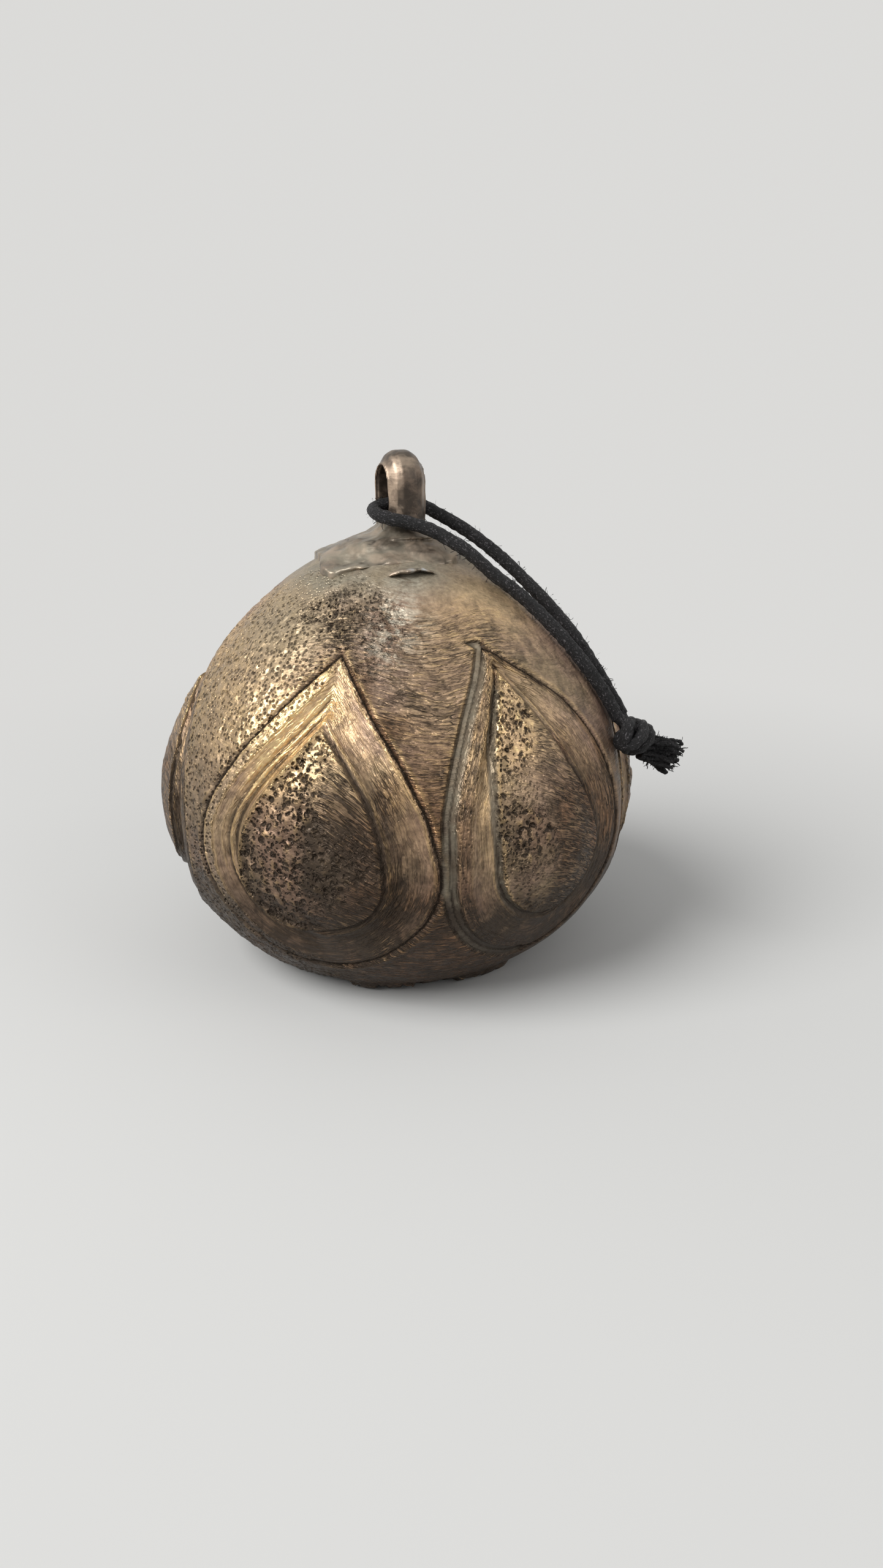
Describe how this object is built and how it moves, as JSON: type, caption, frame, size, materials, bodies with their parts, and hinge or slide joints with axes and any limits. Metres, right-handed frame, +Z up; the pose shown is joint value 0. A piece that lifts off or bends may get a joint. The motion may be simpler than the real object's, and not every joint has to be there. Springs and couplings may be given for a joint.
{
  "type": "ritual bell",
  "caption": "Round-bodied cast bronze hand bell with carved lotus petals, a thick crown loop, an iron clapper on a link, and a knotted waxed cord.",
  "frame": {"origin": "centre of the mouth, on the plane of the rim that the bell stands on", "axes": "+Z is up along the body's axis to the loop; -Y faces the viewer of the picture; +X is to the viewer's right, the side that the knot hangs on"},
  "size_m": [0.1222, 0.1118, 0.1162],
  "materials": {
    "bell_bronze": "patinated, rasped and pitted casting, brighter on the petal edges",
    "loop_bronze": "worn faceted casting with grey solder on its pad",
    "forged_iron": "dark forged iron with light rust",
    "cast_iron_ball": "dark cast iron with light rust",
    "waxed_cotton": "black twisted cotton with a waxy sheen"
  },
  "bodies": {
    "root": {"bell_shell": "bell_bronze", "crown_loop": "loop_bronze", "clapper_staple": "forged_iron", "cord_loop": "waxed_cotton", "cord_knot": "waxed_cotton", "cord_tail_upper": "waxed_cotton", "cord_tail_lower": "waxed_cotton"},
    "link": {"clapper_link": "forged_iron"},
    "clapper": {"clapper_shank": "forged_iron", "clapper_ball": "cast_iron_ball"}
  },
  "joints": [
    {"name": "link_turn", "type": "hinge", "parent": "root", "child": "link", "pos_m": [0, 0, 0.0837], "axis": [0, 0, 1], "range_deg": [-35, 35]},
    {"name": "clapper_swing", "type": "hinge", "parent": "link", "child": "clapper", "pos_m": [0, 0, 0.0748], "axis": [0, 1, 0], "range_deg": [-43, 43]}
  ]
}
